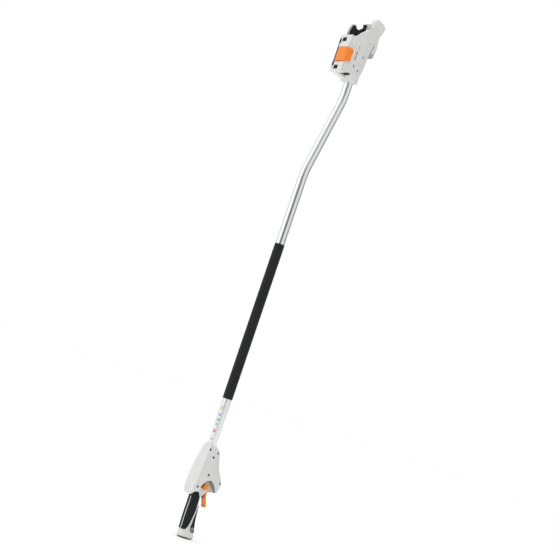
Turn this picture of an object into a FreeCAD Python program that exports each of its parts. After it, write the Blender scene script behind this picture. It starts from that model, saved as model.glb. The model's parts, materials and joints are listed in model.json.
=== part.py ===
"""Extension pole with a remote trigger: grip and trigger at the bottom, a bent
aluminium tube, and a head that clamps a hand tool and carries a branch hook.

Millimetres. +Z runs up the lower tube axis, +X is the trigger side and -Y is the
user's right-hand side. The origin is where the tube axis meets the butt's flat face.
"""

import FreeCAD, Part
import math
import os

import Sketcher
from FreeCAD import Placement, Rotation, Vector

os.makedirs("parts", exist_ok=True)
doc = FreeCAD.newDocument("ExtensionPole")

# ---------------------------------------------------------------- dimensions

DIMENSIONS = {
    # tube
    "tube_radius": 12.0,
    "tube_wall": 1.5,
    "tube_bottom": 208.0,
    "tube_top": 1335.0,
    "bend_low": 994.5,
    "bend_high": 1219.6,
    "tube_offset": 47.0,
    "bend_radius": 170.0,
    "sleeve_bottom": 368.0,
    "sleeve_length": 424.0,
    "sleeve_wall": 1.2,
    "label_bottom": 256.0,
    "label_length": 98.0,
    "label_angle": 130.0,
    "label_wall": 0.2,
    # cable
    "conduit_radius": 2.5,
    "conduit_bore": 1.1,
    "cable_radius": 0.8,
    "nipple_radius": 2.0,
    "cable_corner": 186.4,
    "cable_bend": 45.0,
    "conduit_stop": 18.0,
    "conduit_top": 1340.0,
    "plug_radius": 10.4,
    "plug_length": 16.0,
    "plug_flange": 2.0,
    # handle
    "handle_half": 21.5,
    "grip_half": 15.3,
    "pad_half": 17.8,
    "wall": 2.6,
    "handle_round": 5.0,
    "mechanism_half": 9.0,
    "room_half": 16.0,
    "scoop_floor": 12.0,
    "butt_height": 6.0,
    "eyelet_radius": 3.0,
    "eyelet_wall": 1.4,
    "eyelet_x": 14.0,
    "eyelet_z": 27.5,
    # trigger and lock
    "pivot_x": 26.0,
    "pivot_z": 140.0,
    "pivot_radius": 2.5,
    "trigger_half": 6.0,
    "cable_arm": 10.2,
    "lock_x": 10.8,
    "lock_z": 138.6,
    "lock_radius": 7.2,
    "lock_out": 20.5,
    "lock_tail": 12.0,
    "lock_wall": 2.0,
    "lock_recess": 10.0,
    "seat_thick": 2.0,
    "lock_bore_start": 2.0,
    "lock_seat_start": 17.5,
    "clearance": 0.05,
    "gap": 0.4,
    # head
    "head_half": 22.0,
    "head_wall": 2.5,
    "head_round": 2.5,
    "trough_floor": 1282.0,
    "trough_back": 34.0,
    "liner": 2.0,
    "liner_height": 96.0,
    "hook_half": 9.0,
    "spine_half": 8.0,
    "throat_half": 14.0,
    "socket_start": 1260.0,
    "socket_depth": 78.0,
    # clamp
    "rod_x": -13.0,
    "rod_y": 17.2,
    "rod_radius": 2.0,
    "rod_bottom": 1289.0,
    "rod_length": 84.0,
    "barrel_radius": 3.7,
    "strap_bottom": 1306.0,
    "strap_length": 39.0,
    "strap_thick": 3.0,
    "bracket_thick": 4.5,
    "bracket_skin": 1.5,
    "bumper_start": -5.5,
    "bumper_width": 15.5,
    "bumper_height": 11.0,
    "bumper_proud": 0.8,
    "relief_height": 13.0,
    "lug_length": 5.0,
    # lever in the head
    "lever_x": 56.0,
    "lever_z": 1362.0,
    "lever_half": 3.0,
    "lever_arm": 9.0,
    # screws
    "screw_head": 3.0,
    "screw_head_height": 2.2,
    "screw_shank": 1.5,
    "spring_radius": 3.4,
    "spring_wire": 0.4,
    "anchor_length": 9.0,
    "screw_short": 4.0,
    "screw_long": 15.0,
    "head_screw_long": 20.0,
    "head_screw_seat": 16.2,
    "boss_wall": 0.6,
    "well_depth": 8.0,
    "pin_inset": 1.0,
    "pin_overhang": 4.0,
    "through": 250.0,
}

sheet = doc.addObject("Spreadsheet::Sheet", "Dimensions")
for row, (alias, value) in enumerate(DIMENSIONS.items(), start=1):
    sheet.set(f"A{row}", alias)
    sheet.set(f"B{row}", str(value))
    sheet.setAlias(f"B{row}", alias)
doc.recompute()


def dim(alias):
    """The sheet's value for one alias, in millimetres or degrees."""
    return float(sheet.get(alias))


def bind(obj, prop, formula):
    """Bind a property to the sheet: every word of the formula that is an alias is a cell."""
    words = [f"Dimensions.{word}" if word in DIMENSIONS else word for word in formula.split()]
    obj.setExpression(prop, " ".join(words))


UP = Vector(0, 0, 1)
ALONG_Y = Vector(0, 1, 0)
RIGHT, LEFT = 1, -1
SUBPARTS = []


def subpart(obj, label):
    """Give an object its node name and list it for export."""
    obj.Label = label
    SUBPARTS.append(obj)
    return obj


# ------------------------------------------------------------ sketch helpers


def sketch_on(body, name, role, height=0.0):
    """A sketch on one of the body's own origin planes, raised along the plane's normal."""
    sketch = body.newObject("Sketcher::SketchObject", name)
    plane = next(item for item in body.Origin.OriginFeatures if item.Role == role)
    sketch.AttachmentSupport = [(plane, "")]
    sketch.MapMode = "FlatFace"
    sketch.AttachmentOffset = Placement(Vector(0, 0, height), Rotation())
    return sketch


def rounded(corners, closed=True):
    """Line and arc edges through corners (x, y) or (x, y, radius)."""
    count = len(corners)
    ends = []
    for index, corner in enumerate(corners):
        point = Vector(corner[0], corner[1], 0)
        radius = corner[2] if len(corner) == 3 else 0.0
        if radius == 0.0:
            ends.append((point, None, point))
            continue
        before = Vector(*corners[index - 1][:2], 0) - point
        after = Vector(*corners[(index + 1) % count][:2], 0) - point
        before.normalize()
        after.normalize()
        half = before.getAngle(after) / 2
        reach = radius / math.tan(half)
        bisector = (before + after).normalize()
        middle = point + bisector * (radius / math.sin(half) - radius)
        ends.append((point + before * reach, middle, point + after * reach))
    edges = []
    for index, (start, middle, stop) in enumerate(ends):
        if middle is not None:
            edges.append(Part.Arc(start, middle, stop))
        if closed or index + 1 < count:
            following = ends[(index + 1) % count][0]
            run = Vector(*corners[(index + 1) % count][:2], 0) - Vector(*corners[index][:2], 0)
            if run.dot(following - stop) <= 0:
                raise ValueError(f"no room for the arcs between {corners[index]} and the next corner")
            edges.append(Part.LineSegment(stop, following))
    return edges


def outline(body, name, role, corners, height=0.0):
    """A closed sketch through rounded corners, its edges joined end to end."""
    sketch = sketch_on(body, name, role, height)
    for edge in rounded(corners):
        sketch.addGeometry(edge)
    return sketch


def circles(body, name, role, centres, radius, height=0.0):
    """A sketch of equal circles whose radii follow the sheet."""
    sketch = sketch_on(body, name, role, height)
    for index, (x, y) in enumerate(centres):
        sketch.addGeometry(Part.Circle(Vector(x, y, 0), UP, 1.0))
        number = sketch.addConstraint(Sketcher.Constraint("Radius", index, 1.0))
        bind(sketch, f"Constraints[{number}]", radius)
    return sketch


def pad(body, sketch, length, reverse=False, both=False):
    feature = body.newObject("PartDesign::Pad", f"{sketch.Name}_pad")
    feature.Profile = sketch
    feature.SideType = "Symmetric" if both else "One side"
    feature.Reversed = reverse
    bind(feature, "Length", length)
    doc.recompute()
    return feature


def pocket(body, sketch, depth, reverse=False, both=False):
    """Cut a sketch into the body, and fail if nothing was cut."""
    before = body.Shape.Volume
    feature = body.newObject("PartDesign::Pocket", f"{sketch.Name}_cut")
    feature.Profile = sketch
    feature.SideType = "Symmetric" if both else "One side"
    feature.Reversed = reverse
    bind(feature, "Length", depth)
    doc.recompute()
    if body.Shape.Volume > before - 0.01:
        raise RuntimeError(f"{sketch.Name} cuts nothing")
    return feature


def round_face_edges(body, name, radius, y):
    """Round every edge that lies in the plane at y."""
    names = []
    for index, edge in enumerate(body.Shape.Edges, start=1):
        box = edge.BoundBox
        if abs(box.YMin - y) < 1e-5 and abs(box.YMax - y) < 1e-5:
            names.append(f"Edge{index}")
    base = body.Tip
    feature = body.newObject("PartDesign::Fillet", name)
    feature.Base = (base, names)
    bind(feature, "Radius", radius)
    doc.recompute()
    return feature


# --------------------------------------------------------- primitive helpers


def cylinder(name, radius, length, base, direction=UP):
    solid = doc.addObject("Part::Cylinder", name)
    bind(solid, "Radius", radius)
    bind(solid, "Height", length)
    solid.Placement = Placement(base, Rotation(UP, direction))
    return solid


def block(name, size, corner):
    """A box of three sheet formulas, from its lowest corner."""
    solid = doc.addObject("Part::Box", name)
    for prop, formula in zip(("Length", "Width", "Height"), size):
        bind(solid, prop, formula)
    solid.Placement = Placement(corner, Rotation())
    return solid


def cut(name, base, *tools):
    result = base
    for index, tool in enumerate(tools):
        step = doc.addObject("Part::Cut", f"{name}_{index}")
        step.Base = result
        step.Tool = tool
        result = step
    return result


def fuse(name, *solids):
    result = doc.addObject("Part::MultiFuse", name)
    result.Shapes = list(solids)
    return result


def group(name, solids):
    result = doc.addObject("Part::Compound", name)
    result.Links = solids
    return result


def screw(name, length, base, direction):
    """A pan-head screw with a six-sided drive recess: base is the top of its head."""
    head = cylinder(f"{name}_head", "screw_head", "screw_head_height", base, direction)
    shank = cylinder(f"{name}_shank", "screw_shank", length, base, direction)
    recess = doc.addObject("Part::Prism", f"{name}_recess")
    recess.Polygon = 6
    bind(recess, "Circumradius", "screw_head * 0.45")
    bind(recess, "Height", "screw_head_height * 0.6")
    recess.Placement = Placement(base, Rotation(UP, direction))
    return cut(f"{name}_solid", fuse(f"{name}_blank", head, shank), recess)


def coil(label, radius, pitch, turns, base, direction):
    """A round-wire spring wound about the line from base along direction."""
    place = Placement(base, Rotation(UP, direction))
    helix = doc.addObject("Part::Helix", f"{label}_helix")
    bind(helix, "Radius", radius)
    helix.Pitch = pitch
    helix.Height = pitch * turns
    helix.Placement = place
    section = doc.addObject("Part::Circle", f"{label}_section")
    bind(section, "Radius", "spring_wire")
    section.Placement = place * Placement(Vector(dim(radius), 0, 0), Rotation(Vector(1, 0, 0), 90))
    doc.recompute()
    spring = doc.addObject("Part::Sweep", f"{label}_sweep")
    spring.Sections = [section]
    spring.Spine = (helix, ["Edge1"])
    spring.Solid = True
    spring.Frenet = True
    return subpart(spring, label)


def pipe(label, corners, rings):
    """A round bar or tube (two rings) along a route in the XZ plane."""
    body = doc.addObject("PartDesign::Body", f"{label}_body")
    path = sketch_on(body, f"{label}_path", "XZ_Plane")
    for edge in rounded(corners, closed=False):
        path.addGeometry(edge)
    start = Vector(corners[0][0], 0, corners[0][1])
    towards = Vector(corners[1][0], 0, corners[1][1]) - start
    section = body.newObject("Sketcher::SketchObject", f"{label}_section")
    section.Placement = Placement(start, Rotation(UP, towards))
    for index, radius in enumerate(rings):
        section.addGeometry(Part.Circle(Vector(), UP, 1.0))
        number = section.addConstraint(Sketcher.Constraint("Radius", index, 1.0))
        bind(section, f"Constraints[{number}]", radius)
    doc.recompute()
    sweep = body.newObject("PartDesign::AdditivePipe", f"{label}_pipe")
    sweep.Profile = section
    sweep.Spine = (path, [f"Edge{index + 1}" for index in range(path.GeometryCount)])
    doc.recompute()
    length = sum(edge.length() for edge in rounded(corners, closed=False))
    print(f"{label}: {length:.1f} mm long, volume {body.Shape.Volume:.0f} mm3")
    return subpart(body, label)


# ------------------------------------------------------------- handle shells

SHELL_BOTTOM = dim("butt_height")
HOUSING = [
    (-15, 255, 2), (12, 251, 5), (20, 238, 8), (27, 222, 20), (33, 200, 40), (46, 179, 30),
    (60, 160, 8), (57, 143, 12), (52, 132, 4), (21, 129, 4), (4, 128), (-7, 125, 5),
    (-13, 113, 4), (-21, 110, 3), (-28, 116, 5), (-32, 132, 20), (-29, 175, 90), (-20, 228, 60),
]
GRIP_CORE = [
    (-9, 136), (14, 136), (11, 114), (15, 98, 12), (14.5, 88), (18.5, 66), (20.5, 50), (26, 27),
    (32, 14, 6), (34.5, SHELL_BOTTOM), (-12.5, SHELL_BOTTOM), (-9, 17, 8),
]
CAVITY = [
    (-17, 203, 3), (25, 203, 3), (30, 198), (43, 176, 20), (56.5, 159, 5), (54, 144, 8),
    (49, 135), (42, 135), (42, 120), (16, 120), (16, 131), (-9, 130, 3), (-14, 117, 3),
    (-21, 113, 2), (-26, 118, 3), (-29, 132, 15), (-26.5, 173, 60),
]
LOWER_CAVITY_TOP = 162
BORE_BOTTOM = 203
SCOOP = [(-1, 122), (-1, 143, 4), (8, 156, 5), (24, 159.5, 10), (42, 145, 6), (50, 133), (52, 122)]
GRIP_CAVITY = [(-5.5, 118, 3), (7, 118, 3), (10, 98), (10, 82), (15, 42), (-5.5, 42, 3)]
FLANK_TAPER = [(22, 158), (19.8, 192, 60), (16.9, 226, 40), (13, 256), (30, 256), (30, 158)]
HANDLE_SCREWS = [(-10.7, 233), (19, 229), (6, 170.5), (-16, 136), (55, 156)]
SCREW_SEATS = [13.0, 13.4, 18.6, 19.5, 19.5]
SCREW_LENGTHS = ["screw_short", "screw_long", "screw_long", "screw_long", "screw_long"]
TUBE_SCREW = (5, 216)
TUBE_SCREW_SEAT = 15.6
PIVOT = (dim("pivot_x"), dim("pivot_z"))
LOCK = (dim("lock_x"), dim("lock_z"))
EYELET = (dim("eyelet_x"), dim("eyelet_z"))


def handle_shell(label, side):
    """One half of the housing and grip core, hollow, with screw bosses."""
    right = side == RIGHT
    body = doc.addObject("PartDesign::Body", label)
    pad(body, outline(body, f"{label}_housing", "XZ_Plane", HOUSING), "handle_half", not right)
    round_face_edges(body, f"{label}_rounds", "handle_round", -side * dim("handle_half"))
    taper = [(-side * point[0], *point[1:]) for point in FLANK_TAPER]
    pocket(body, outline(body, f"{label}_taper", "YZ_Plane", taper), "through", both=True)
    pad(body, outline(body, f"{label}_core", "XZ_Plane", GRIP_CORE), "grip_half", not right)
    scoop = outline(body, f"{label}_scoop", "XZ_Plane", SCOOP, side * dim("handle_half"))
    pocket(body, scoop, "handle_half - scoop_floor", not right)
    upper = [(x, max(z, LOWER_CAVITY_TOP)) for x, z in ((-25, 0), (-17, 203), (28, 203), (54, 0))]
    room = outline(body, f"{label}_room", "XZ_Plane", upper)
    pocket(body, room, "room_half", right)
    works = outline(body, f"{label}_works", "XZ_Plane", CAVITY)
    pocket(body, works, "mechanism_half", right)
    hollow = outline(body, f"{label}_hollow", "XZ_Plane", GRIP_CAVITY)
    pocket(body, hollow, "grip_half - wall", right)
    bosses = circles(body, f"{label}_bosses", "XZ_Plane", HANDLE_SCREWS[2:], "screw_head + boss_wall")
    pad(body, bosses, "room_half", not right)
    bore = circles(body, f"{label}_bore", "XY_Plane", [(0, 0)], "tube_radius", BORE_BOTTOM)
    pocket(body, bore, "tube_radius * 5", True)
    screws = circles(body, f"{label}_screws", "XZ_Plane", HANDLE_SCREWS, "screw_shank + clearance")
    pocket(body, screws, "handle_half" if right else "grip_half - wall", right)
    pins = circles(body, f"{label}_pivot", "XZ_Plane", [PIVOT], "pivot_radius + clearance")
    pocket(body, pins, "scoop_floor - pin_inset", right)
    lock = circles(body, f"{label}_lock", "XZ_Plane", [LOCK], "lock_radius + gap")
    pocket(body, lock, "handle_half", right)
    eye = circles(body, f"{label}_eye", "XZ_Plane", [EYELET], "eyelet_radius + eyelet_wall")
    pocket(body, eye, "handle_half", right)
    if right:
        heads = list(zip(HANDLE_SCREWS + [TUBE_SCREW], SCREW_SEATS + [TUBE_SCREW_SEAT]))
        for index, (centre, seat) in enumerate(heads):
            name = f"{label}_well_{index}"
            floor = seat - dim("screw_head_height")
            well = circles(body, name, "XZ_Plane", [centre], "screw_head + gap", floor)
            pocket(body, well, "handle_half", True)
        shanks = circles(body, f"{label}_shanks", "XZ_Plane", [TUBE_SCREW], "screw_shank + clearance")
        pocket(body, shanks, "handle_half", True)
    return subpart(body, label)


handle_shell("handle_shell_right", RIGHT)
handle_shell("handle_shell_left", LEFT)

# ---------------------------------------------------------------- grip pads

SIDE_PAD = [
    (-11.5, 16), (-11.5, 109), (-12.5, 119, 2), (-6, 122.5, 3), (2, 117, 4), (9, 98, 10),
    (8, 84, 10), (5.5, 68), (3, 52), (0.8, 34), (-2, 24, 3), (-8, 16, 3),
]
FRONT_PAD = [
    (16.4, 93), (13.5, 82), (11, 62), (7.5, 42), (6.5, 28, 3), (9, 20.5, 4), (24, 20.5, 3),
    (29, 25), (23.2, 50), (21, 67), (17.3, 90),
]


def side_pad(label, side):
    """A rubber pad that wraps the grip's back edge and one flank."""
    right = side == RIGHT
    body = doc.addObject("PartDesign::Body", label)
    flank = outline(body, f"{label}_flank", "XZ_Plane", SIDE_PAD)
    pad(body, flank, "pad_half", not right)
    core = outline(body, f"{label}_core", "XZ_Plane", GRIP_CORE)
    pocket(body, core, "grip_half", right)
    seam = outline(body, f"{label}_seam", "XZ_Plane", [(-20, 0), (-20, 130), (-8, 130), (-8, 0)])
    pocket(body, seam, "gap", right)
    under_housing = outline(body, f"{label}_under_housing", "XZ_Plane", HOUSING)
    pocket(body, under_housing, "pad_half", right)
    return subpart(body, label)


side_pad("grip_pad_right", RIGHT)
side_pad("grip_pad_left", LEFT)

front = doc.addObject("PartDesign::Body", "grip_front_pad")
pad(front, outline(front, "front_face", "XZ_Plane", FRONT_PAD), "pad_half * 2", both=True)
pocket(front, outline(front, "front_core", "XZ_Plane", GRIP_CORE), "grip_half * 2", both=True)
front_eye = circles(front, "front_eye", "XZ_Plane", [EYELET], "eyelet_radius + eyelet_wall")
pocket(front, front_eye, "pad_half * 2", both=True)
subpart(front, "grip_front_pad")

# -------------------------------------------------------------- butt of grip

butt = doc.addObject("PartDesign::Body", "butt_cap")
GRIP_HALF = dim("grip_half")
BUTT = [(-12.5, -GRIP_HALF, 5), (34.5, -GRIP_HALF, 5), (34.5, GRIP_HALF, 5), (-12.5, GRIP_HALF, 5)]
pad(butt, outline(butt, "butt_plate", "XY_Plane", BUTT), "butt_height")
subpart(butt, "butt_cap")

eye_base = Vector(EYELET[0], -dim("pad_half"), EYELET[1])
eye_outer = cylinder("eye_outer", "eyelet_radius + eyelet_wall", "pad_half * 2", eye_base, ALONG_Y)
eye_inner = cylinder("eye_inner", "eyelet_radius", "pad_half * 2", eye_base, ALONG_Y)
subpart(cut("eyelet", eye_outer, eye_inner), "lanyard_eyelet")

# ------------------------------------------------------- trigger and its pin

ARM = dim("cable_arm")
TRIGGER = [
    (21, 140), (21, 146, 4), (31, 153.5, 3), (38.5, 155.5, 2), (40.5, 149, 2), (33.5, 141, 6),
    (34.5, 126), (36, 116, 10),
    (46.5, 89.5, 2), (30, 88.5, 2), (22.5, 112, 20), (20, 131, 8),
]
trigger = doc.addObject("PartDesign::Body", "trigger")
pad(trigger, outline(trigger, "trigger_blade", "XZ_Plane", TRIGGER), "trigger_half * 2", both=True)
trigger_hole = circles(trigger, "trigger_hole", "XZ_Plane", [PIVOT], "pivot_radius + clearance")
pocket(trigger, trigger_hole, "trigger_half * 2", both=True)
NIPPLE = (PIVOT[0] + ARM, PIVOT[1] + ARM)
trigger_slot = outline(trigger, "trigger_slot", "XZ_Plane", [(28, 145), (28, 160), (44, 160), (44, 145)])
pocket(trigger, trigger_slot, "trigger_half", both=True)
nipple_hole = circles(trigger, "nipple_hole", "XZ_Plane", [NIPPLE], "nipple_radius + clearance")
pocket(trigger, nipple_hole, "trigger_half * 2", both=True)
subpart(trigger, "trigger")

nipple_base = Vector(NIPPLE[0], -dim("trigger_half"), NIPPLE[1])
nipple_body = cylinder("nipple_low", "nipple_radius", "trigger_half * 2", nipple_base, ALONG_Y)
subpart(nipple_body, "trigger_cable_nipple")

pin_base = Vector(PIVOT[0], dim("pin_inset") - dim("scoop_floor"), PIVOT[1])
pin = cylinder("pin_low", "pivot_radius", "scoop_floor * 2 - pin_inset * 2", pin_base, ALONG_Y)
subpart(pin, "trigger_pivot_pin")

spring_base = Vector(PIVOT[0], dim("trigger_half") + 0.6, PIVOT[1])
coil("trigger_return_spring", "spring_radius", 1.2, 1.0, spring_base, ALONG_Y)

# -------------------------------------------------------------- lock button

lock_base = Vector(LOCK[0], -dim("lock_out"), LOCK[1])
lock = cylinder("lock_bolt", "lock_radius", "lock_out + lock_tail", lock_base, ALONG_Y)
bore_base = Vector(LOCK[0], dim("lock_bore_start"), LOCK[1])
lock_bore = cylinder("lock_bore", "lock_radius - lock_wall", "lock_recess", bore_base, ALONG_Y)
subpart(cut("lock_button", lock, lock_bore), "lock_button")
spring_start = dim("lock_bore_start") + dim("spring_wire") * 1.5
coil("lock_spring", "spring_radius", 2.4, 5.5, Vector(LOCK[0], spring_start, LOCK[1]), ALONG_Y)
seat_base = Vector(LOCK[0], dim("lock_seat_start"), LOCK[1])
spring_seat = cylinder("seat", "lock_radius", "seat_thick", seat_base, ALONG_Y)
subpart(spring_seat, "lock_spring_seat")

# ------------------------------------------------------------ tube and cable

TUBE_BENDS = [
    (0, dim("bend_low"), dim("bend_radius")),
    (dim("tube_offset"), dim("bend_high"), dim("bend_radius")),
]
CABLE_BEND = (0, dim("cable_corner"), dim("cable_bend"))
STOP = dim("conduit_stop")
pipe(
    "shaft_tube",
    [(0, dim("tube_bottom")), *TUBE_BENDS, (dim("tube_offset"), dim("tube_top"))],
    ("tube_radius", "tube_radius - tube_wall"),
)
pipe(
    "cable_conduit",
    [
        (STOP, dim("cable_corner") - STOP), CABLE_BEND, *TUBE_BENDS,
        (dim("tube_offset"), dim("conduit_top")),
    ],
    ("conduit_radius", "conduit_bore"),
)
pipe(
    "inner_cable",
    [
        (NIPPLE[0] - 2, NIPPLE[1] + 2), CABLE_BEND, *TUBE_BENDS,
        (dim("tube_offset"), dim("lever_z") - 2.5),
    ],
    ("cable_radius",),
)

sleeve_base = Vector(0, 0, dim("sleeve_bottom"))
sleeve = cylinder("sleeve_outer", "tube_radius + sleeve_wall", "sleeve_length", sleeve_base)
sleeve_hole = cylinder("sleeve_hole", "tube_radius", "sleeve_length", sleeve_base)
subpart(cut("sleeve", sleeve, sleeve_hole), "grip_sleeve")

label_base = Vector(0, 0, dim("label_bottom"))
label_outer = cylinder("label_outer", "tube_radius + label_wall", "label_length", label_base)
label_hole = cylinder("label_hole", "tube_radius", "label_length", label_base)
bind(label_outer, "Angle", "label_angle")
label_outer.Placement = Placement(label_base, Rotation(UP, 175))
subpart(cut("label", label_outer, label_hole), "safety_label")


def tube_plug(label, base, direction, bore_radius):
    """A plug in one end of the tube that centres the conduit."""
    shaft = cylinder(f"{label}_shaft", "plug_radius", "plug_length", base, direction)
    flange_base = base - direction * dim("plug_flange")
    flange = cylinder(f"{label}_flange", "tube_radius", "plug_flange", flange_base, direction)
    bore = cylinder(f"{label}_bore", bore_radius, "plug_length + plug_flange", flange_base, direction)
    subpart(cut(label, fuse(f"{label}_blank", flange, shaft), bore), label)


tube_plug("lower_tube_plug", Vector(0, 0, dim("tube_bottom")), UP, "conduit_radius")
top_of_tube = Vector(dim("tube_offset"), 0, dim("tube_top"))
tube_plug("upper_tube_plug", top_of_tube, -UP, "conduit_radius")

anchor_direction = Vector(-1, 0, 1).normalize()
anchor_end = Vector(STOP, 0, dim("cable_corner") - STOP)
anchor_base = anchor_end - anchor_direction * 3
anchor = cylinder("anchor_body", "conduit_radius * 2", "anchor_length", anchor_base, anchor_direction)
anchor_seat = cylinder("anchor_seat", "conduit_radius", "anchor_length", anchor_end, anchor_direction)
anchor_hole = cylinder("anchor_hole", "conduit_bore", "anchor_length", anchor_base, anchor_direction)
anchor_bar_base = Vector(anchor_end.x + 0.5, -dim("mechanism_half"), anchor_end.z + 4.5)
anchor_bar = cylinder("anchor_bar", "conduit_radius", "mechanism_half * 2", anchor_bar_base, ALONG_Y)
anchor_solid = fuse("anchor_blank", anchor, anchor_bar)
subpart(cut("anchor", anchor_solid, anchor_seat, anchor_hole), "cable_anchor")

# --------------------------------------------------------------- head shells

NEAR_TOP = [(-9, 1380, 2), (4, 1385, 6), (17.5, 1401, 10), (31, 1414, 12), (58, 1432, 12)]
FAR_TOP = [
    (-9, 1380, 2), (2, 1387, 5), (3, 1409, 10), (9, 1423, 3), (21, 1428, 1.5), (25, 1419, 6),
    (36, 1417, 8), (50, 1430, 6), (46, 1441, 1.5), (78, 1457, 8),
]
HEAD_FRONT = [
    (88, 1440, 8), (86, 1402, 6), (78, 1394, 6), (71, 1354, 60), (67, 1310, 30), (61, 1291, 20),
    (61, 1269, 2), (33, 1269, 2), (30, 1276, 3),
]
NEAR_FOOT = [(21, 1287, 4), (0, 1278), (-9, 1277, 1.5)]
FAR_FOOT = [(-9, 1277, 1.5)]
TROUGH_MOUTH = -20
SADDLE = [
    (5, 1388), (5, 1409, 9), (10.5, 1420.5, 3), (19, 1424.5, 1), (23.3, 1416.8, 5), (36.5, 1414.5, 8),
    (51.5, 1429.5, 6), (48.5, 1438.5), (57, 1442), (57, 1424), (38, 1400), (38, 1388),
]
TAPER_START = 1250
TAPER = [(38, 22.5), (95, 22.5), (95, 9.2), (88, 9.2)]
HEAD_SCREWS = [(60, 1386), (51, 1345), (44, 1302)]
HEAD_SCREW_LENGTHS = ["head_screw_long", "head_screw_long", "screw_short"]
LEVER = (dim("lever_x"), dim("lever_z"))


def head_shell(label, side, top, foot):
    """One half of the head: a side wall of the trough and half of the spine."""
    right = side == RIGHT
    body = doc.addObject("PartDesign::Body", label)
    pad(body, outline(body, f"{label}_side", "XZ_Plane", top + HEAD_FRONT + foot), "head_half", not right)
    round_face_edges(body, f"{label}_rounds", "head_round", -side * dim("head_half"))
    taper = [(x, -side * y) for x, y in TAPER]
    pocket(body, outline(body, f"{label}_taper", "XY_Plane", taper, TAPER_START), "through", True)
    floor, back = dim("trough_floor"), dim("trough_back")
    trough = [
        (TROUGH_MOUTH, floor), (back, floor), (back, 1400), (45, 1411), (45, 1480), (TROUGH_MOUTH, 1480),
    ]
    pocket(body, outline(body, f"{label}_trough", "XZ_Plane", trough), "head_half - head_wall", right)
    throat = [(44, 1409), (61, 1427), (61, 1480), (44, 1480)]
    pocket(body, outline(body, f"{label}_throat", "XZ_Plane", throat), "throat_half", right)
    if not right:
        seat = outline(body, f"{label}_saddle", "XZ_Plane", SADDLE, dim("head_wall") - dim("head_half"))
        pocket(body, seat, "head_half - head_wall - throat_half", True)
    spine = [(40, 1336), (62, 1336), (64, 1385), (52, 1405), (18, 1405), (18, 1373), (40, 1373)]
    pocket(body, outline(body, f"{label}_spine", "XZ_Plane", spine), "spine_half", right)
    hook_slot = [(61, 1394), (100, 1394), (100, 1470), (61, 1470)]
    pocket(body, outline(body, f"{label}_slot", "XZ_Plane", hook_slot), "hook_half", right)
    socket = [(dim("tube_offset"), 0)]
    bore = circles(body, f"{label}_bore", "XY_Plane", socket, "tube_radius", dim("socket_start"))
    pocket(body, bore, "socket_depth", True)
    bosses = circles(body, f"{label}_bosses", "XZ_Plane", HEAD_SCREWS[:1], "screw_head + boss_wall")
    pad(body, bosses, "head_wall * 4", not right)
    holes = circles(body, f"{label}_holes", "XZ_Plane", HEAD_SCREWS, "screw_shank + clearance")
    pocket(body, holes, "head_half - head_wall * 3", right)
    pivot = circles(body, f"{label}_pivot", "XZ_Plane", [LEVER], "pivot_radius + clearance")
    pocket(body, pivot, "spine_half + pin_overhang", right)
    if right:
        wells = circles(
            body, f"{label}_wells", "XZ_Plane", HEAD_SCREWS, "screw_head + gap", dim("head_half")
        )
        pocket(body, wells, "well_depth")
    return subpart(body, label)


head_shell("head_shell_right", RIGHT, NEAR_TOP, NEAR_FOOT)
head_shell("head_shell_left", LEFT, FAR_TOP, FAR_FOOT)

# ------------------------------------------------- trough lining and saddle

liner = doc.addObject("PartDesign::Body", "cradle_liner")
INSIDE = dim("head_half") - dim("head_wall")
THICK = dim("liner")
BACK = dim("trough_back")
LINER = [
    (-4, INSIDE), (BACK, INSIDE), (BACK, -INSIDE), (-4, -INSIDE), (-4, THICK - INSIDE),
    (BACK - THICK, THICK - INSIDE, 3), (BACK - THICK, INSIDE - THICK, 3), (-4, INSIDE - THICK),
]
liner_base = dim("trough_floor")
pad(liner, outline(liner, "liner_channel", "XY_Plane", LINER, liner_base), "liner_height")
subpart(liner, "cradle_liner")

saddle = doc.addObject("PartDesign::Body", "saddle_liner")
saddle_face = outline(saddle, "saddle_face", "XZ_Plane", SADDLE, -INSIDE)
pad(saddle, saddle_face, "liner * 2")
subpart(saddle, "saddle_liner")

# ----------------------------------------------------- back face of the head

BRACKET_X = -9 - dim("bracket_thick")


def bracket(label, bottom, height, bumper_z, lug_z, relief_z):
    """A cross plate over the trough's open back, with a lug for the rod and a soft bumper."""
    corner = Vector(BRACKET_X, -dim("head_half"), bottom)
    plate = block(f"{label}_plate", ("bracket_thick", "head_half * 2", height), corner)
    edges = doc.addObject("Part::Fillet", f"{label}_rounds")
    edges.Base = plate
    doc.recompute()
    edges.Edges = [
        (index, 1.5, 1.5)
        for index, edge in enumerate(plate.Shape.Edges, start=1)
        if abs(edge.BoundBox.XMin - BRACKET_X) < 1e-6 and edge.BoundBox.XLength < 1e-6
    ]
    window_corner = Vector(BRACKET_X, dim("bumper_start"), bumper_z - dim("bumper_height") / 2)
    window_size = ("bracket_thick - bracket_skin", "bumper_width", "bumper_height")
    window = block(f"{label}_window", window_size, window_corner)
    rod_line = Vector(dim("rod_x"), dim("rod_y"), 0)
    relief_base = rod_line + UP * relief_z
    relief = cylinder(f"{label}_relief", "barrel_radius + gap", "relief_height", relief_base)
    lug = cylinder(f"{label}_lug", "barrel_radius", "lug_length", rod_line + UP * lug_z)
    hole = cylinder(f"{label}_hole", "rod_radius", "rod_length", rod_line + UP * dim("rod_bottom"))
    plate_cut = cut(f"{label}_cut", edges, window, relief)
    subpart(cut(label, fuse(f"{label}_blank", plate_cut, lug), hole), f"{label}_bracket")
    bumper_size = ("bracket_thick - bracket_skin + bumper_proud", "bumper_width", "bumper_height")
    bumper_corner = window_corner - Vector(dim("bumper_proud"), 0, 0)
    bumper = block(f"{label}_bumper", bumper_size, bumper_corner)
    subpart(bumper, f"{label}_bumper")


bracket("upper", 1356.5, "25", 1368, 1369.5, 1356.5)
bracket("lower", 1277, "28.5", 1289, 1287.5, 1292.5)

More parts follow.
